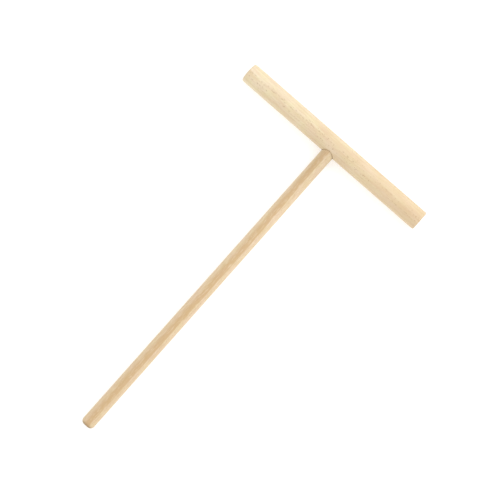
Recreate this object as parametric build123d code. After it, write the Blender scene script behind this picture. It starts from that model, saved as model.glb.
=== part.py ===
from build123d import *

import math
import os

# T-shaped wooden batter spreader: a thin round rod glued into a socket bored across a thicker round crossbar.
#
# The tool lies flat, as it does on a worktop. +X runs along the crossbar, the rod points to -Y and +Z is up.
# The origin is under the middle of the tool's footprint, on the surface that it lies on. Units are millimetres.

# Driving dimensions
CROSSBAR_LENGTH = 128.0
CROSSBAR_DIAMETER = 12.0
ROD_DIAMETER = 8.0
ROD_REACH = 203.0  # from the crossbar's skin to the rod's free end

# Sanded ends
CROSSBAR_END_ROUND = 0.8
ROD_TIP_ROUND = 2.5

# The glued joint
SOCKET_DEPTH = 8.4  # from the crossbar's skin to the flat of the bore, so the far wall stays whole
SOCKET_CLEARANCE = 0.10  # radial, filled by glue
SOCKET_SPUR_RADIUS = 0.9  # the small cone that a brad-point bit leaves in the bore's floor
SOCKET_SPUR_DEPTH = 0.9
MOUTH_ROUND = 0.30  # sanded edge of the socket's mouth
TENON_TAPER = 0.08  # how much smaller in radius the rod is sanded at its inner end, to start it in the socket
TENON_LEAD_CHAMFER = 0.8
SHOULDER_GAP = 0.20  # from the end of the rod's parallel shank to the crossbar's skin
ROD_END_GAP = 0.30  # glue well between the rod's end and the bore's floor
GLUE_SETBACK = 0.9  # the glue stops short of the bore's rim, so that none shows

# Worked out from the driving dimensions
CROSSBAR_RADIUS = CROSSBAR_DIAMETER / 2
ROD_RADIUS = ROD_DIAMETER / 2
SOCKET_RADIUS = ROD_RADIUS + SOCKET_CLEARANCE
TOTAL_LENGTH = CROSSBAR_DIAMETER + ROD_REACH
CROSSBAR_Y = TOTAL_LENGTH / 2 - CROSSBAR_RADIUS
AXIS_Z = CROSSBAR_RADIUS  # both axes lie this high above the worktop
TIP_Y = -TOTAL_LENGTH / 2
SKIN_Y = CROSSBAR_Y - CROSSBAR_RADIUS  # the crossbar's skin on the rod's side
SHOULDER_Y = SKIN_Y - SHOULDER_GAP
SOCKET_FLOOR_Y = SKIN_Y + SOCKET_DEPTH
ROD_END_Y = SOCKET_FLOOR_Y - ROD_END_GAP
# The rim of the socket is saddle-shaped: it lies deepest above and below the rod.
RIM_Y = CROSSBAR_Y - math.sqrt(CROSSBAR_RADIUS**2 - SOCKET_RADIUS**2)
GLUE_START_Y = RIM_Y + GLUE_SETBACK


def round_bar(radius, start_y, end_y):
    """A cylinder along +Y at the height of the rod's axis."""
    base = Plane(origin=(0, start_y, AXIS_Z), z_dir=(0, 1, 0))
    return extrude(base * Circle(radius), amount=end_y - start_y)


def round_taper(start_radius, end_radius, start_y, end_y):
    """A cone along +Y at the height of the rod's axis, cut off square at both ends."""
    base = Plane(origin=(0, start_y, AXIS_Z), z_dir=(0, 1, 0))
    return base * Cone(
        bottom_radius=start_radius,
        top_radius=end_radius,
        height=end_y - start_y,
        align=(Align.CENTER, Align.CENTER, Align.MIN),
    )


def socket_bore():
    """The space that a brad-point bit clears: a flat-floored bore with a small cone in its middle."""
    bore = round_bar(SOCKET_RADIUS, SKIN_Y - CROSSBAR_RADIUS, SOCKET_FLOOR_Y)
    spur_tip_y = SOCKET_FLOOR_Y + SOCKET_SPUR_DEPTH
    return bore + round_taper(SOCKET_SPUR_RADIUS, 0, SOCKET_FLOOR_Y, spur_tip_y)


def crossbar():
    """A round bar with sanded ends and the socket bored across its middle."""
    start = Plane(origin=(-CROSSBAR_LENGTH / 2, CROSSBAR_Y, AXIS_Z), z_dir=(1, 0, 0))
    bar = extrude(start * Circle(CROSSBAR_RADIUS), amount=CROSSBAR_LENGTH)
    end_edges = bar.edges().filter_by(GeomType.CIRCLE)
    bar = fillet(end_edges, CROSSBAR_END_ROUND)
    bar = bar - socket_bore()
    mouth = bar.edges().filter_by(GeomType.BSPLINE)
    return fillet(mouth, MOUTH_ROUND)


def rod():
    """A round rod with a bull-nosed free end, and a slightly tapered tenon for the socket."""
    shank = round_bar(ROD_RADIUS, TIP_Y, SHOULDER_Y)
    tip_edge = shank.edges().filter_by(GeomType.CIRCLE).sort_by(Axis.Y)[0]
    shank = fillet(tip_edge, ROD_TIP_ROUND)
    tenon = round_taper(ROD_RADIUS, ROD_RADIUS - TENON_TAPER, SHOULDER_Y, ROD_END_Y)
    end_edge = tenon.edges().filter_by(GeomType.CIRCLE).sort_by(Axis.Y)[-1]
    return shank + chamfer(end_edge, TENON_LEAD_CHAMFER)


def glue_film(rod_solid):
    """The glue that fills the socket round the rod's end and under it, up to a setback from the rim."""
    past_the_bar = round_bar(CROSSBAR_DIAMETER, GLUE_START_Y, SOCKET_FLOOR_Y + CROSSBAR_DIAMETER)
    return (socket_bore() & past_the_bar) - rod_solid


def main():
    os.makedirs("parts", exist_ok=True)
    rod_solid = rod()
    nodes = {
        "crossbar": crossbar(),
        "rod": rod_solid,
        "glue_film": glue_film(rod_solid),
    }
    for name, shape in nodes.items():
        solids = shape.solids()
        print(name, len(solids), "solid,", round(shape.volume, 1), "mm3")
        export_step(shape, f"parts/{name}.step")


main()
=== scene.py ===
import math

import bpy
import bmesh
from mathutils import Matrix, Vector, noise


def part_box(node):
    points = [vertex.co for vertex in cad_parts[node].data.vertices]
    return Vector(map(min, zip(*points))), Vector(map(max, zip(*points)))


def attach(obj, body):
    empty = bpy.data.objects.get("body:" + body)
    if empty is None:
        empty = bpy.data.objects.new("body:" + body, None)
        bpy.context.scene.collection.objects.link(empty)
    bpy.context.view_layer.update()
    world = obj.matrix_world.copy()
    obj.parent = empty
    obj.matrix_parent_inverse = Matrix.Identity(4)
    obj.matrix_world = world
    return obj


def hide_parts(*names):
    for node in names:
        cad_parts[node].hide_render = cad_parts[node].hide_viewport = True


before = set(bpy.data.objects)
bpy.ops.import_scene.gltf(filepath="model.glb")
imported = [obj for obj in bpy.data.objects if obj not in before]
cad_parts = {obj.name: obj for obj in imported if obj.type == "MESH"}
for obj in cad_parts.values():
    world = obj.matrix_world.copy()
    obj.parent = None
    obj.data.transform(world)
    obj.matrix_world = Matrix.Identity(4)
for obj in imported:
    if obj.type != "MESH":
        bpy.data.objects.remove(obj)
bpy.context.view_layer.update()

# A T-shaped batter spreader in bare beech: a slim round rod, glued into the middle of a thicker crossbar.
#
# Shapes are worked out in millimetres, in the frame of the CAD parts, and turned into metres as a mesh is
# made. +X runs along the crossbar, the rod points to -Y, and +Z is up from the surface the tool lies on.

MM = 0.001  # metres in a millimetre


# ---------------------------------------------------------------- sizes, from the CAD parts, in millimetres

bar_low, bar_high = (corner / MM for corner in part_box("crossbar"))
rod_low, rod_high = (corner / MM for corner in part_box("rod"))

BAR_RADIUS = (bar_high.z - bar_low.z) / 2
BAR_HALF = (bar_high.x - bar_low.x) / 2
BAR_Y = (bar_high.y + bar_low.y) / 2
AXIS_Z = (bar_high.z + bar_low.z) / 2
SKIN_Y = bar_low.y  # the bar's skin on the rod's side
ROD_RADIUS = (rod_high.x - rod_low.x) / 2
TIP_Y = rod_low.y
ROD_END_Y = rod_high.y  # inside the socket

# The socket in the bar
SOCKET_CLEARANCE = 0.10  # between the rod and the socket's wall, all round
SOCKET_RADIUS = ROD_RADIUS + SOCKET_CLEARANCE
SOCKET_WELL = 0.30  # between the rod's inner end and the socket's floor
SOCKET_FLOOR_Y = ROD_END_Y + SOCKET_WELL
SPUR_RADIUS = 0.9  # the small cone that a brad-point bit leaves in the floor
SPUR_DEPTH = 0.9
MOUTH_ROUND = 0.34  # the sanded edge of the socket's mouth
SEAM_STAIN_AND_SHADE = 0.45  # how far from the joint the wood is darkened: partly a glue stain, partly painted shade in the seam's gap

# The bar's ends
END_ROUND_LEAST = 0.62  # the radius of the sanded edge, where it is smallest
END_ROUND_SPREAD = 0.36  # and how much larger it can be
END_DISH = 0.035  # how far the sawn face is sanded hollow
END_ROUGHNESS = 0.018  # the depth of its marks
END_MARK_SIZE = 1.1
END_MIDDLE_DEPTH = 0.045  # how deep its middle lies

# The rod's ends
TIP_ROUND = 2.5  # the radius of the blunt free end's edge
TIP_ROUGHNESS = 0.016  # the depth of the marks on the small flat inside it
TIP_MARK_SIZE = 0.7
TIP_MIDDLE_DEPTH = 0.008
TENON_TAPER = 0.08  # how much smaller in radius the rod is at its inner end
TENON_CHAMFER = 0.8


# ---------------------------------------------------------------- mesh helpers

def uneven(x, y, z, seed):
    """Smooth noise between 0 and 1."""
    return 0.5 + 0.5 * noise.noise(Vector((x + seed, y - seed, z + 2 * seed)))


def spread(start, stop, count):
    """count + 1 evenly spaced numbers from start to stop."""
    return [start + (stop - start) * i / count for i in range(count + 1)]


class Shell:
    """Collects rings of points, given in millimetres, and the quads between them."""

    def __init__(self):
        self.points = []
        self.faces = []

    def add(self, point):
        self.points.append(Vector(point) * MM)
        return len(self.points) - 1

    def ring(self, points):
        return [self.add(p) for p in points]

    def bridge(self, ring, following):
        """Quads between two rings with the same number of points."""
        for i in range(len(ring)):
            j = (i + 1) % len(ring)
            self.faces.append((ring[i], ring[j], following[j], following[i]))

    def extend(self, ring, points):
        """A new ring of points, joined to an earlier one."""
        following = self.ring(points)
        self.bridge(ring, following)
        return following

    def fan(self, ring, centre):
        """Triangles that close a ring at its middle."""
        middle = self.add(centre)
        for i, corner in enumerate(ring):
            self.faces.append((corner, ring[(i + 1) % len(ring)], middle))

    def finish(self, name):
        """The mesh object, with outward normals and smooth shading."""
        mesh = bpy.data.meshes.new(name)
        mesh.from_pydata(self.points, [], self.faces)
        work = bmesh.new()
        work.from_mesh(mesh)
        bmesh.ops.recalc_face_normals(work, faces=work.faces)
        for face in work.faces:
            face.smooth = True
        work.to_mesh(mesh)
        work.free()
        piece = bpy.data.objects.new(name, mesh)
        bpy.context.scene.collection.objects.link(piece)
        return piece


def sanded(along, across, up, marks):
    """How far sanding has taken a skin in from a true cylinder, where (across, up) points outwards.

    Each of the marks has a depth, a length along the piece, how finely it is divided around it, and a seed.
    """
    depths = []
    for depth, length, fineness, seed in marks.values():
        depths.append(depth * uneven(along / length, fineness * across, fineness * up, seed))
    return sum(depths)


# ---------------------------------------------------------------- crossbar

BAR_AROUND = 192  # points around the bar
BAR_STEP = 0.30  # between rings along the bar
BAR_END_MARGIN = 1.1  # the rings stop a little more than this from each end, short of its rounded edge

# The patch around the socket's mouth, which is left out of the rings
PATCH_HALF_STEPS = 25  # ring steps each side of the bar's middle
PATCH_HALF_COLUMNS = 32  # points around the bar each side of the rod's axis
PATCH_EVENNESS = 4.6  # spreads the points of the patch's border evenly about the mouth
FLOOR_RING_RADIUS = 2.6  # a ring of points on the socket's floor

BAR_MARKS = {
    "waviness": (0.045, 26, 1.2, 3.1),
    "flats": (0.030, 60, 2.6, 8.4),
    "grain": (0.010, 11, 8, 5.7),
    "fibres": (0.006, 5, 19, 1.3),
}


def bar_wear(x, phi):
    """How far in from a true cylinder the bar's skin is."""
    return sanded(x, math.cos(phi), math.sin(phi), BAR_MARKS)


def bar_point(x, phi, radius):
    """A point this far from the bar's axis. phi is 0 on the rod's side and a quarter turn on top."""
    return Vector((x, BAR_Y - radius * math.cos(phi), AXIS_Z + radius * math.sin(phi)))


def bar_skin(x, phi):
    """A point on the bar's skin."""
    return bar_point(x, phi, BAR_RADIUS - bar_wear(x, phi))


def end_round(phi, side):
    """The radius of the sanded edge at the bar's end, which a hand leaves a little uneven."""
    share = uneven(1.4 * math.cos(phi), 1.4 * math.sin(phi), 2.0 * side, seed=6.2)
    return END_ROUND_LEAST + END_ROUND_SPREAD * share


def bar_end(shell, last_ring, angles, side):
    """The sanded edge and the sawn face that close one end of the bar."""
    edge_steps = 9
    for step in range(1, edge_steps + 1):
        turn = math.radians(90) * step / edge_steps
        points = []
        for phi in angles:
            rounding = end_round(phi, side)
            x = side * (BAR_HALF - rounding + rounding * math.sin(turn))
            radius = BAR_RADIUS - rounding + rounding * math.cos(turn)
            wear = bar_wear(x, phi) * math.cos(turn)
            points.append(bar_point(x, phi, radius - wear))
        last_ring = shell.extend(last_ring, points)
    face_rings = 11
    for step in range(1, face_rings):
        share = 1 - step / face_rings
        points = []
        for phi in angles:
            radius = (BAR_RADIUS - end_round(phi, side)) * share
            p = bar_point(side * BAR_HALF, phi, radius)
            dish = END_DISH * (1 - share**2)
            marks = uneven(p.y / END_MARK_SIZE, p.z / END_MARK_SIZE, side, seed=4.4)
            p.x -= side * (dish + END_ROUGHNESS * marks * (1 - share**6))
            points.append(p)
        last_ring = shell.extend(last_ring, points)
    shell.fan(last_ring, (side * (BAR_HALF - END_MIDDLE_DEPTH), BAR_Y, AXIS_Z))


def mouth_frame(t):
    """The socket's sharp rim at angle t about its axis, and the way out from it over the bar's skin.

    Both are in the skin's own coordinates: the rim's (x, phi), and (dx, dphi) for each millimetre.
    """
    x = SOCKET_RADIUS * math.cos(t)
    lift = SOCKET_RADIUS * math.sin(t) / BAR_RADIUS
    phi = math.asin(lift)
    out = Vector((math.cos(t) / math.sqrt(1 - lift * lift), math.sin(t)))
    out.normalize()
    return (x, phi), (out.x, out.y / BAR_RADIUS)


def mouth_skin(shell, ring, border, angles):
    """The bar's skin, from the border of the patch in to the mouth's rounded rim."""
    skin_rings = 15
    for step in range(1, skin_rings + 1):
        share = (1 - step / skin_rings) ** 1.5
        points = []
        for t, (_, x, phi) in zip(angles, border):
            (rim_x, rim_phi), (dx, dphi) = mouth_frame(t)
            start_x = rim_x + dx * MOUTH_ROUND
            start_phi = rim_phi + dphi * MOUTH_ROUND
            skin_x = start_x + (x - start_x) * share
            skin_phi = start_phi + (phi - start_phi) * share
            points.append(bar_skin(skin_x, skin_phi))
        ring = shell.extend(ring, points)
    return ring


def mouth_rim(shell, ring, angles):
    """The mouth's rounded rim, from the bar's skin to the socket's wall."""
    round_steps = 7
    for step in range(1, round_steps + 1):
        share = step / round_steps
        points = []
        for t in angles:
            (rim_x, rim_phi), (dx, dphi) = mouth_frame(t)
            skin = bar_skin(rim_x + dx * MOUTH_ROUND, rim_phi + dphi * MOUTH_ROUND)
            rim = bar_skin(rim_x, rim_phi)
            wall = rim + Vector((0, MOUTH_ROUND, 0))
            points.append(skin * (1 - share) ** 2 + rim * (2 * share * (1 - share)) + wall * share**2)
        ring = shell.extend(ring, points)
    return ring


def socket_bore(shell, ring, angles):
    """The socket's wall and its floor, with the small cone in the middle."""
    starts = [shell.points[index] / MM for index in ring]
    wall_rings = 12
    for step in range(1, wall_rings + 1):
        share = step / wall_rings
        points = []
        for t, start in zip(angles, starts):
            y = start.y + (SOCKET_FLOOR_Y - start.y) * share
            points.append((SOCKET_RADIUS * math.cos(t), y, AXIS_Z + SOCKET_RADIUS * math.sin(t)))
        ring = shell.extend(ring, points)
    for radius in (FLOOR_RING_RADIUS, SPUR_RADIUS):
        points = [(radius * math.cos(t), SOCKET_FLOOR_Y, AXIS_Z + radius * math.sin(t)) for t in angles]
        ring = shell.extend(ring, points)
    shell.fan(ring, (0, SOCKET_FLOOR_Y + SPUR_DEPTH, AXIS_Z))


def socket(shell, border):
    """The socket and the skin around it, inside the border of the patch, a list of (index, x, phi)."""
    angles = [math.atan2(phi * BAR_RADIUS / PATCH_EVENNESS, x / SOCKET_RADIUS) for _, x, phi in border]
    ring = [index for index, _, _ in border]
    ring = mouth_skin(shell, ring, border, angles)
    ring = mouth_rim(shell, ring, angles)
    socket_bore(shell, ring, angles)


def patch_border(rows, step_angle):
    """The points around the patch, in turn, each with its x and its phi."""
    steps, columns = PATCH_HALF_STEPS, PATCH_HALF_COLUMNS
    walk = [(steps, c) for c in range(-columns, columns)]
    walk += [(n, columns) for n in range(steps, -steps, -1)]
    walk += [(-steps, c) for c in range(columns, -columns, -1)]
    walk += [(n, -columns) for n in range(-steps, steps)]
    return [(rows[n][c % BAR_AROUND], n * BAR_STEP, c * step_angle) for n, c in walk]


def make_crossbar():
    """The bar's skin as rings along X, with a patch left out for the socket's mouth."""
    shell = Shell()
    step_angle = 2 * math.pi / BAR_AROUND
    angles = [i * step_angle for i in range(BAR_AROUND)]
    half_steps = int((BAR_HALF - BAR_END_MARGIN) / BAR_STEP)
    rows = {}
    for n in range(-half_steps, half_steps + 1):
        rows[n] = shell.ring([bar_skin(n * BAR_STEP, phi) for phi in angles])
    for n in range(-half_steps, half_steps):
        inside = -PATCH_HALF_STEPS <= n < PATCH_HALF_STEPS
        for i in range(BAR_AROUND):
            j = (i + 1) % BAR_AROUND
            near_rod = i < PATCH_HALF_COLUMNS or i >= BAR_AROUND - PATCH_HALF_COLUMNS
            if not (inside and near_rod):
                shell.faces.append((rows[n][i], rows[n][j], rows[n + 1][j], rows[n + 1][i]))
    socket(shell, patch_border(rows, step_angle))
    bar_end(shell, rows[half_steps], angles, 1)
    bar_end(shell, rows[-half_steps], angles, -1)
    return shell.finish("crossbar_wood")


# ---------------------------------------------------------------- rod

ROD_AROUND = 128  # points around the rod
ROD_STEP = 0.33  # between rings along the rod, before they are spaced evenly
TENON_RING_RADIUS = 1.6  # a ring of points on the tenon's end

ROD_MARKS = {
    "waviness": (0.035, 30, 1.1, 2.7),
    "flats": (0.030, 80, 2.4, 7.9),
    "grain": (0.009, 12, 6, 9.3),
    "fibres": (0.005, 5, 14, 0.6),
}


def rod_wear(y, theta):
    """How far in from a true cylinder the rod's skin is."""
    return sanded(y, math.sin(theta), math.cos(theta), ROD_MARKS)


def rod_point(y, theta, radius):
    """A point on the rod. theta is 0 on top and a quarter turn on the +X side."""
    return Vector((radius * math.sin(theta), y, AXIS_Z + radius * math.cos(theta)))


def rod_tip(shell, last_ring, angles):
    """The rounded free end, down to a small sanded flat."""
    tip_steps = 16
    for step in range(1, tip_steps + 1):
        turn = math.radians(90) * step / tip_steps
        y = TIP_Y + TIP_ROUND - TIP_ROUND * math.sin(turn)
        radius = ROD_RADIUS - TIP_ROUND + TIP_ROUND * math.cos(turn)
        points = [rod_point(y, a, radius - rod_wear(y, a) * math.cos(turn)) for a in angles]
        last_ring = shell.extend(last_ring, points)
    flat_radius = ROD_RADIUS - TIP_ROUND
    flat_rings = 6
    for step in range(1, flat_rings):
        share = 1 - step / flat_rings
        points = []
        for a in angles:
            p = rod_point(TIP_Y, a, flat_radius * share)
            marks = uneven(p.x / TIP_MARK_SIZE, p.z / TIP_MARK_SIZE, 1.0, seed=2.2)
            p.y += TIP_ROUGHNESS * marks * (1 - share**4)
            points.append(p)
        last_ring = shell.extend(last_ring, points)
    shell.fan(last_ring, (0, TIP_Y + TIP_MIDDLE_DEPTH, AXIS_Z))


def rod_tenon(shell, last_ring, angles):
    """The slightly tapered end that the socket holds, which the glue covers."""
    end_radius = ROD_RADIUS - TENON_TAPER
    length = ROD_END_Y - SKIN_Y
    for y in spread(SKIN_Y, ROD_END_Y - TENON_CHAMFER, 8)[1:]:
        radius = ROD_RADIUS - TENON_TAPER * (y - SKIN_Y) / length
        points = [rod_point(y, a, radius - rod_wear(y, a)) for a in angles]
        last_ring = shell.extend(last_ring, points)
    for radius in (end_radius - TENON_CHAMFER, TENON_RING_RADIUS):
        points = [rod_point(ROD_END_Y, a, radius) for a in angles]
        last_ring = shell.extend(last_ring, points)
    shell.fan(last_ring, (0, ROD_END_Y, AXIS_Z))


def make_rod():
    """The rod's skin as rings along Y, closed by its tip and its tenon."""
    shell = Shell()
    angles = [i * 2 * math.pi / ROD_AROUND for i in range(ROD_AROUND)]
    start_y = TIP_Y + TIP_ROUND
    count = round((SKIN_Y - start_y) / ROD_STEP)
    rings = []
    for y in spread(start_y, SKIN_Y, count):
        rings.append(shell.ring([rod_point(y, a, ROD_RADIUS - rod_wear(y, a)) for a in angles]))
    for ring, following in zip(rings, rings[1:]):
        shell.bridge(ring, following)
    rod_tip(shell, rings[0], angles)
    rod_tenon(shell, rings[-1], angles)
    return shell.finish("rod_wood")


# ---------------------------------------------------------------- shader helpers

class Field:
    """A number or vector that a material's nodes work out, with Python's arithmetic."""

    def __init__(self, graph, socket):
        self.graph = graph
        self.socket = socket

    def __add__(self, other):
        return self.graph.math("ADD", self, other)

    def __radd__(self, other):
        return self.graph.math("ADD", other, self)

    def __sub__(self, other):
        return self.graph.math("SUBTRACT", self, other)

    def __mul__(self, other):
        return self.graph.math("MULTIPLY", self, other)

    def __truediv__(self, other):
        return self.graph.math("DIVIDE", self, other)

    def root(self):
        return self.graph.math("SQRT", self, 0)

    def fraction(self):
        return self.graph.math("FRACT", self, 0)

    def floor(self):
        return self.graph.math("FLOOR", self, 0)

    def size(self):
        return self.graph.math("ABSOLUTE", self, 0)

    def step(self, low, high):
        """0 below low and 1 above high, smooth between them. With low above high it falls instead."""
        node = self.graph.node("ShaderNodeMapRange")
        node.interpolation_type = "SMOOTHSTEP"
        falling = low > high
        self.graph.plug(node.inputs["Value"], self)
        node.inputs["From Min"].default_value = min(low, high)
        node.inputs["From Max"].default_value = max(low, high)
        node.inputs["To Min"].default_value = 1.0 if falling else 0.0
        node.inputs["To Max"].default_value = 0.0 if falling else 1.0
        return Field(self.graph, node.outputs["Result"])


class Graph:
    """One material's node tree."""

    def __init__(self, name):
        self.material = bpy.data.materials.new(name)
        self.material.use_nodes = True
        self.tree = self.material.node_tree
        self.tree.nodes.clear()

    def node(self, kind):
        return self.tree.nodes.new(kind)

    def plug(self, target, value):
        """Links a Field to a socket, or sets a plain value on it."""
        if isinstance(value, Field):
            self.tree.links.new(value.socket, target)
        else:
            target.default_value = value

    def math(self, operation, a, b):
        node = self.node("ShaderNodeMath")
        node.operation = operation
        self.plug(node.inputs[0], a)
        self.plug(node.inputs[1], b)
        return Field(self, node.outputs[0])

    def hypot(self, a, b):
        return (a * a + b * b).root()

    def vector(self, x, y, z):
        node = self.node("ShaderNodeCombineXYZ")
        for target, value in zip(node.inputs, (x, y, z)):
            self.plug(target, value)
        return Field(self, node.outputs[0])

    def parts(self, socket):
        node = self.node("ShaderNodeSeparateXYZ")
        self.tree.links.new(socket, node.inputs[0])
        return [Field(self, output) for output in node.outputs]

    def noise(self, where, detail=2.0, roughness=0.5):
        """Cloudy noise about 0.5, with features about one unit wide."""
        node = self.node("ShaderNodeTexNoise")
        self.plug(node.inputs["Vector"], where)
        node.inputs["Scale"].default_value = 1.0
        node.inputs["Detail"].default_value = detail
        node.inputs["Roughness"].default_value = roughness
        return Field(self, node.outputs["Fac"])

    def cells(self, where):
        """Distance to the nearest of a scatter of points, about one unit apart, and its own number."""
        node = self.node("ShaderNodeTexVoronoi")
        self.plug(node.inputs["Vector"], where)
        node.inputs["Scale"].default_value = 1.0
        own = self.parts(node.outputs["Color"])[0]
        return Field(self, node.outputs["Distance"]), own

    def random(self, number):
        """A number between 0 and 1 that depends on this one alone."""
        node = self.node("ShaderNodeTexWhiteNoise")
        node.noise_dimensions = "1D"
        self.plug(node.inputs["W"], number)
        return Field(self, node.outputs["Value"])

    def blend(self, share, first, second):
        """A colour between two others: the first where share is 0, and the second where it is 1."""
        node = self.node("ShaderNodeMix")
        node.data_type = "RGBA"
        factor, first_colour, second_colour = node.inputs[0], node.inputs[6], node.inputs[7]
        self.plug(factor, share)
        self.plug(first_colour, first)
        self.plug(second_colour, second)
        return Field(self, node.outputs[2])

    def bump(self, height, depth_mm):
        """A normal from a height that runs over one unit, for a relief depth_mm deep."""
        node = self.node("ShaderNodeBump")
        node.inputs["Strength"].default_value = 1.0
        node.inputs["Distance"].default_value = depth_mm * MM
        self.plug(node.inputs["Height"], height)
        return Field(self, node.outputs["Normal"])

    def surface(self, colour, roughness, normal=None, specular=0.5):
        """Joins a Principled shader to the material's output."""
        shader = self.node("ShaderNodeBsdfPrincipled")
        output = self.node("ShaderNodeOutputMaterial")
        self.plug(shader.inputs["Base Color"], colour)
        self.plug(shader.inputs["Roughness"], roughness)
        if normal is not None:
            self.plug(shader.inputs["Normal"], normal)
        shader.inputs["Specular IOR Level"].default_value = specular
        self.tree.links.new(shader.outputs[0], output.inputs[0])
        return shader


WOOD_TONE = 0.91  # the lights are a little over full, so the wood itself is darker than it looks


def colour(red, green, blue):
    """The linear colour of wood that is to look like these 0 to 255 numbers on a screen."""
    def linear(value):
        value /= 255
        return value / 12.92 if value <= 0.04045 else ((value + 0.055) / 1.055) ** 2.4
    return (linear(red) * WOOD_TONE, linear(green) * WOOD_TONE, linear(blue) * WOOD_TONE, 1.0)


# ---------------------------------------------------------------- beech

# How strongly each feature colours the wood, from 0 to 1, where both pieces have it alike
PALE_STREAK_SHARE = 0.45
FIBRE_SHARE = 0.18
PORE_SHARE = 0.32
FINE_RAY_SHARE = 0.34
FLAKE_SHARE = 0.18
SEAM_SHARE = 0.12

# And on end grain
END_SHARE = 0.75
END_RING_SHARE = 0.45
END_PORE_SHARE = 0.20
END_FIBRE_SHARE = 0.45
END_RAY_SHARE = 0.20

RELIEF_DEPTH = 0.020  # millimetres
FIRST_YEAR = 20  # the number of the growth ring at the edge that looks names, so that no ring's is below 0


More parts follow.
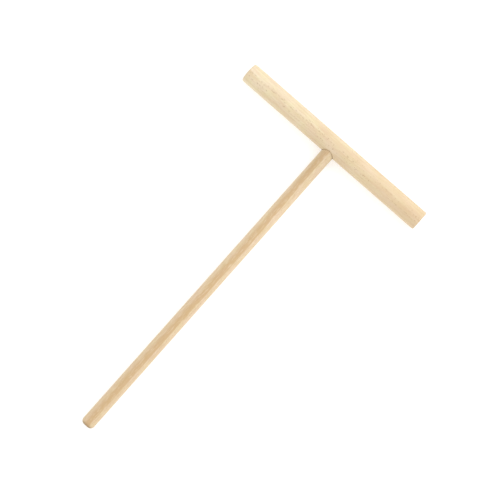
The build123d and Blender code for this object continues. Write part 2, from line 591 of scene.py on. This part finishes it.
class Beech(Graph):
    """Solid beech, sawn from a trunk. Places are in millimetres, across the grain from the piece's axis.

    looks says where the pith and one edge of a growth ring lie, how the rings run, and the colours.
    """

    def __init__(self, name, grain_axis, looks):
        super().__init__(name)
        self.looks = looks
        self.find_place(grain_axis)
        self.find_trunk()
        self.grow_rings()
        self.grow_fibres()
        self.grow_rays()
        shader = self.surface(self.tint(), self.gloss(), self.bump(self.relief(), RELIEF_DEPTH))
        shader.inputs["Sheen Weight"].default_value = 0.10
        shader.inputs["Sheen Roughness"].default_value = 0.45

    def stretched(self, length, width, shift=0.0):
        """Where to look up a pattern with features this long along the grain and this wide across it."""
        return self.vector(self.along / length + shift, self.across / width, self.up / width)

    def find_place(self, grain_axis):
        """Where the point is in its piece, whether it is on end grain, and how near it is to the joint."""
        place = self.node("ShaderNodeTexCoord")
        x, y, z = (part / MM for part in self.parts(place.outputs["Object"]))
        normal_x, normal_y, _ = self.parts(place.outputs["Normal"])
        self.up = z - AXIS_Z
        if grain_axis == "x":
            self.along, self.across = x, y - BAR_Y
            end_facing = normal_x.size()
            on_rod_side = y.step(BAR_Y, BAR_Y - 1.0)
            self.from_joint = self.hypot(x, self.up) - SOCKET_RADIUS
            # the seam: a glue stain and painted shade in the gap, close to the joint
            self.seam = self.from_joint.step(SEAM_STAIN_AND_SHADE, 0.05) * on_rod_side
        else:
            self.along, self.across = y, x
            end_facing = normal_y.size()
            self.from_joint = self.hypot(y - BAR_Y, self.up) - BAR_RADIUS
            # the seam: a glue stain and painted shade in the gap, close to the joint
            self.seam = self.from_joint.step(SEAM_STAIN_AND_SHADE, 0.05)
        self.end_grain = end_facing.step(0.30, 0.85)

    def find_trunk(self):
        """Where the point was in the trunk: how far out from the pith, and which way around."""
        looks = self.looks
        pith_across, pith_up = looks["pith"]
        wander = self.noise(self.stretched(length=45, width=16)) - 0.5
        wobble = self.noise(self.stretched(length=14, width=7), detail=1.0) - 0.5
        veer = self.along.step(*looks["veer_between"]) * looks["veer"]
        from_pith_across = self.across - pith_across + veer + wander * looks["wander"]
        from_pith_up = self.up - pith_up + self.along * looks["climb"] + wobble * looks["wobble"]
        self.out = self.hypot(from_pith_across, from_pith_up)
        turn = self.math("ARCTAN2", from_pith_up, from_pith_across)
        self.arc = turn * math.hypot(pith_across, pith_up)
        outward_across = from_pith_across / self.out
        outward_up = from_pith_up / self.out
        from_axis = self.hypot(self.across, self.up) + 0.001  # never 0, so that it can divide
        # 1 where the skin lies along the rings, and 0 where it cuts straight through them
        self.face_on = ((self.across * outward_across + self.up * outward_up) / from_axis).size()

    def grow_rings(self):
        """Growth rings: each year darkens slowly towards its late wood and then starts again, pale."""
        looks = self.looks
        pith_across, pith_up = looks["pith"]
        edge_across, edge_up = looks["ring_edge"]
        edge_distance = math.hypot(edge_across - pith_across, edge_up - pith_up)
        year = (self.out - edge_distance) / looks["ring_width"] + FIRST_YEAR
        season = year.fraction()
        this_year = self.random(year.floor())
        new_year = 1.0 - looks["year_edge"] / looks["ring_width"]
        self.late = season.step(looks["late_from"], looks["late_full"]) * season.step(1.0, new_year)
        self.ring_depth = self.late * (0.55 + this_year * 0.45)

    def grow_fibres(self):
        """Fibres, streaks of them and pores, far longer than they are wide."""
        streak_length = self.looks["streak_length"]
        self.fibres = self.noise(self.stretched(length=3.5, width=0.16), detail=3.0, roughness=0.62)
        self.streaks = self.noise(self.stretched(streak_length, width=0.80), detail=3.0, roughness=0.62)
        pore_distance, pore_own = self.cells(self.stretched(length=0.95, width=0.15))
        self.pores = pore_distance.step(0.30, 0.12) * pore_own.step(0.35, 0.6)

    def grow_rays(self):
        """Rays: sheets that run out from the pith, dashes when seen edge-on and flakes from the side."""
        ragged = (self.fibres - 0.5) * 0.16
        ray_shift = 2.9  # so that the two sets of rays differ
        ray_place = self.vector(self.out / 1.5, self.arc / 0.26, self.along / 1.4 + ray_shift)
        ray_distance, ray_own = self.cells(ray_place)
        rays = (ray_distance + ragged - ray_own * 0.34).step(0.05, -0.06) * ray_own.step(0.40, 0.95)
        fine_place = self.vector(self.out / 1.5, self.arc / 0.24, self.along / 1.3)
        fine_distance, fine_own = self.cells(fine_place)
        self.fine_rays = (fine_distance + ragged - fine_own * 0.34).step(0.05, -0.06)
        self.dashes = rays * self.face_on.step(0.30, 0.75)
        self.flakes = self.fine_rays * self.face_on.step(0.55, 0.15)

    def tint(self):
        """The colour: clean wood, what shades it, and then end grain, which on the rod's tip is also
        painted shade, painted shade around the joint, and the seam's glue stain with painted shade in its
        gap.
        """
        looks = self.looks
        late, fleck, flake = looks["late"], looks["fleck"], looks["flake"]
        hue = self.noise(self.stretched(length=9, width=3.2, shift=7.0))
        patches = self.noise(self.stretched(length=13, width=4.5, shift=4.0))
        drift = self.along * looks["drift"] + looks["drift_middle"]
        # painted shade: the wood is made darker towards the joint between the bar and the rod
        joint_shade = self.from_joint.step(looks["joint_shade_reach"], 0) * looks["joint_shade"]
        tint = self.blend(hue.step(0.32, 0.68), looks["pinkish"], looks["yellowish"])
        tint = self.blend(self.ring_depth * looks["rings"], tint, late)
        tint = self.blend(patches.step(0.30, 0.75) * looks["patches"], tint, late)
        tint = self.blend(self.streaks.step(0.38, 0.72) * looks["streaks"], tint, late)
        tint = self.blend(self.streaks.step(0.50, 0.28) * PALE_STREAK_SHARE, tint, flake)
        tint = self.blend(self.fibres.step(0.40, 0.80) * FIBRE_SHARE, tint, fleck)
        tint = self.blend(self.pores * PORE_SHARE, tint, fleck)
        tint = self.blend(self.fine_rays * self.face_on * FINE_RAY_SHARE, tint, fleck)
        tint = self.blend(self.dashes * looks["flecks"], tint, fleck)
        tint = self.blend(self.flakes * FLAKE_SHARE, tint, flake)
        tint = self.blend(drift, tint, late)
        # end grain; on the rod's rounded tip its colour is also painted shade
        tint = self.blend(self.end_grain * END_SHARE, tint, self.end_tint())
        tint = self.blend(joint_shade, tint, looks["joint_shade_tint"])
        # the seam's glue stain, darkened further as painted shade in its gap
        return self.blend(self.seam * SEAM_SHARE, tint, looks["seam"])

    def end_tint(self):
        """The colour of end grain. The rod's is darkened further, as painted shade on its rounded tip."""
        fleck, flake = self.looks["fleck"], self.looks["flake"]
        dark = self.ring_depth * END_RING_SHARE + self.pores * END_PORE_SHARE
        tint = self.blend(dark, self.looks["end"], fleck)
        tint = self.blend(self.fibres.step(0.42, 0.80) * END_FIBRE_SHARE, tint, fleck)
        return self.blend(self.fine_rays * END_RAY_SHARE, tint, flake)

    def gloss(self):
        """The roughness: sanded wood, with shinier ray flakes and late wood, and duller end grain."""
        return 0.52 + self.fibres * 0.10 - self.flakes * 0.14 + self.end_grain * 0.15 - self.late * 0.05

    def relief(self):
        """The height of the surface, from its fibres, pores, rays and marks of the saw and of sandpaper."""
        sanding = self.noise(self.stretched(length=0.20, width=2.5))
        saw_place = self.vector(self.along, self.across / 7.0, self.up / 0.34)
        saw_marks = self.noise(saw_place) * self.end_grain
        relief = self.fibres * 0.45 + self.streaks * 0.30 - self.pores * 0.55 - self.dashes * 0.35
        return relief + sanding * 0.16 + self.late * 0.12 + saw_marks * 0.60


# Colours are what a screen would show, lengths are in millimetres, and shares run from 0 to 1.
BAR_LOOKS = {
    "pinkish": colour(242, 224, 195),
    "yellowish": colour(241, 230, 189),
    "late": colour(219, 185, 143),  # late wood, streaks and patches
    "fleck": colour(164, 131, 92),  # rays seen edge-on, pores and fibres
    "flake": colour(250, 233, 206),  # rays seen side-on, and pale streaks
    "end": colour(214, 184, 142),  # end grain
    # the seam: glue stain and painted shade in its gap
    "seam": colour(148, 104, 58),
    "joint_shade_tint": colour(116, 96, 72),  # painted shade around the joint
    "pith": (-18.0, -30.0),  # across and up from the piece's axis
    "ring_edge": (0.9, 5.93),  # a place on the sharp line between two years
    "ring_width": 3.4,
    "year_edge": 0.50,  # how wide that line is
    "late_from": 0.15,  # where the late wood starts in a year
    "late_full": 0.95,  # and where it is darkest
    "veer": 0.8,  # how far the rings shift across the piece
    "veer_between": (60.0, -60.0),  # from this place along the grain to that one
    "climb": 0.003,  # how far they climb in each millimetre along it
    "wander": 1.8,  # slow wandering of the rings
    "wobble": 0.5,  # and quicker wobbling
    "rings": 0.17,  # share of the rings in the colour
    "drift": 0.0042,  # slow darkening along the grain, per millimetre
    "drift_middle": 0.24,  # and its share at the middle
    "patches": 0.30,
    "streaks": 0.40,
    "streak_length": 14.0,
    "flecks": 1.0,
    # painted shade around the joint: its share and its reach
    "joint_shade": 0.02,
    "joint_shade_reach": 20.0,  # how far from the joint the painted shade goes
}

ROD_LOOKS = {
    "pinkish": colour(234, 210, 180),
    "yellowish": colour(233, 213, 172),
    "late": colour(205, 170, 121),
    "fleck": colour(172, 130, 86),
    "flake": colour(247, 229, 200),
    # end grain, darkened further as painted shade on the rounded tip
    "end": colour(148, 124, 82),
    # the seam: glue stain and painted shade in its gap
    "seam": colour(148, 104, 58),
    # painted shade around the joint
    "joint_shade_tint": colour(116, 96, 72),
    "pith": (-34.0, -4.0),
    "ring_edge": (2.0, 3.5),
    "ring_width": 7.0,
    "year_edge": 0.50,
    "late_from": 0.33,
    "late_full": 0.70,
    "veer": 1.1,
    "veer_between": (SKIN_Y - 70, SKIN_Y - 3),
    "climb": 0.0,
    "wander": 0.5,
    "wobble": 0.4,
    "rings": 0.80,
    "drift": -0.0013,
    "drift_middle": 0.11,
    "patches": 0.16,
    "streaks": 0.26,
    "streak_length": 4.5,
    "flecks": 0.35,
    # painted shade around the joint: its share and its reach
    "joint_shade": 0.11,
    "joint_shade_reach": 40.0,
}


def glue():
    """Cured wood glue: a dull, faintly mottled amber."""
    g = Graph("wood_glue")
    place = g.node("ShaderNodeTexCoord")
    x, y, z = (part / MM for part in g.parts(place.outputs["Object"]))
    clouds = g.noise(g.vector(x / 0.8, y / 0.8, z / 0.8), detail=3.0)
    tint = g.blend(clouds, colour(206, 178, 124), colour(226, 204, 158))
    g.surface(tint, 0.35 + clouds * 0.2, g.bump(clouds, RELIEF_DEPTH))
    return g.material


def set_material(piece, material):
    piece.data.materials.clear()
    piece.data.materials.append(material)


# ---------------------------------------------------------------- the pieces

crossbar = make_crossbar()
set_material(crossbar, Beech("beech_crossbar", "x", BAR_LOOKS).material)
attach(crossbar, "root")
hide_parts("crossbar")

rod = make_rod()
set_material(rod, Beech("beech_rod", "y", ROD_LOOKS).material)
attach(rod, "root")
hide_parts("rod")

set_material(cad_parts["glue_film"], glue())


# ---------------------------------------------------------------- stage, lights and camera

FLOOR_HALF = 30.0  # metres
FLOOR_GREYS = ((0.64, 0.64, 0.64, 1), (0.67, 0.67, 0.67, 1))
FLOOR_GRAINS = 400  # in each metre
FLOOR_GLOW = 0.49


def white_table():
    """A faintly mottled white, glowing a little, so that it stays white where the tool shades it."""
    g = Graph("white_table")
    place = g.node("ShaderNodeTexCoord")
    x, y, z = g.parts(place.outputs["Object"])
    mottling = g.noise(g.vector(x * FLOOR_GRAINS, y * FLOOR_GRAINS, z))
    shader = g.surface(g.blend(mottling, *FLOOR_GREYS), roughness=0.8, specular=0.2)
    shader.inputs["Emission Color"].default_value = (1, 1, 1, 1)
    shader.inputs["Emission Strength"].default_value = FLOOR_GLOW
    return g.material


def make_floor():
    """A wide white table top, tilted by half a degree so that both the bar and the rod's tip lie on it."""
    tilt = math.atan2(BAR_RADIUS - ROD_RADIUS, BAR_Y - (TIP_Y + TIP_ROUND))
    half = FLOOR_HALF
    mesh = bpy.data.meshes.new("floor")
    corners = [(-half, -half, 0), (half, -half, 0), (half, half, 0), (-half, half, 0)]
    mesh.from_pydata(corners, [], [(0, 1, 2, 3)])
    floor = bpy.data.objects.new("floor", mesh)
    bpy.context.scene.collection.objects.link(floor)
    floor.matrix_world = Matrix.Translation((0, BAR_Y * MM, 0)) @ Matrix.Rotation(-tilt, 4, "X")
    set_material(floor, white_table())


def make_world(strength):
    world = bpy.data.worlds.new("studio")
    world.use_nodes = True
    background = world.node_tree.nodes["Background"]
    background.inputs["Color"].default_value = (1, 1, 1, 1)
    background.inputs["Strength"].default_value = strength
    bpy.context.scene.world = world


def soft_light(name, direction, distance, size, power):
    """A square softbox, facing the middle of the tool, in metres and watts."""
    data = bpy.data.lights.new(name, "AREA")
    data.shape = "SQUARE"
    data.size = size
    data.energy = power
    light = bpy.data.objects.new(name, data)
    bpy.context.scene.collection.objects.link(light)
    towards = Vector(direction).normalized()
    light.location = towards * distance
    light.rotation_mode = "QUATERNION"
    light.rotation_quaternion = towards.to_track_quat("Z", "Y")


VIEW_TILT = math.radians(-8.38)  # how far the camera leans from straight overhead, towards the rod's tip
VIEW_LEAN = math.radians(3.62)  # and towards +X
VIEW_ROLL = math.radians(41.62)  # how far the tool is turned in the picture
VIEW_DISTANCE = 1014.8  # from the crossing of the two axes
VIEW_CENTRE = (3.37, -75.28)  # where the camera looks, from the crossing of the two axes
FOCAL_LENGTH = 129.3  # for a sensor 36 mm wide


def make_camera():
    """Nearly overhead, with the tool turned in the picture."""
    cross = Vector((0, BAR_Y, AXIS_Z))
    height = math.sqrt(1 - math.sin(VIEW_LEAN) ** 2 - math.sin(VIEW_TILT) ** 2)
    eye = cross + VIEW_DISTANCE * Vector((math.sin(VIEW_LEAN), math.sin(VIEW_TILT), height))
    target = cross + Vector((*VIEW_CENTRE, 0))
    back = (eye - target).normalized()
    right = Vector((0, 1, 0)).cross(back).normalized()
    up = back.cross(right)
    turned_right = right * math.cos(VIEW_ROLL) + up * math.sin(VIEW_ROLL)
    turned_up = up * math.cos(VIEW_ROLL) - right * math.sin(VIEW_ROLL)
    data = bpy.data.cameras.new("camera")
    data.sensor_width = 36.0
    data.lens = FOCAL_LENGTH
    data.clip_start = 0.01
    data.clip_end = 100.0
    camera = bpy.data.objects.new("camera", data)
    bpy.context.scene.collection.objects.link(camera)
    turned = Matrix((turned_right, turned_up, back)).transposed().to_4x4()
    camera.matrix_world = Matrix.Translation(eye * MM) @ turned
    bpy.context.scene.camera = camera
    return turned_right, turned_up


picture_right, picture_up = make_camera()
make_floor()
make_world(strength=1.0)
key_direction = picture_right * 0.94 + picture_up * 0.34 + Vector((0, 0, 0.75))
soft_light("key", key_direction, distance=1.3, size=0.8, power=5.3)
bpy.context.scene.view_settings.view_transform = "Standard"
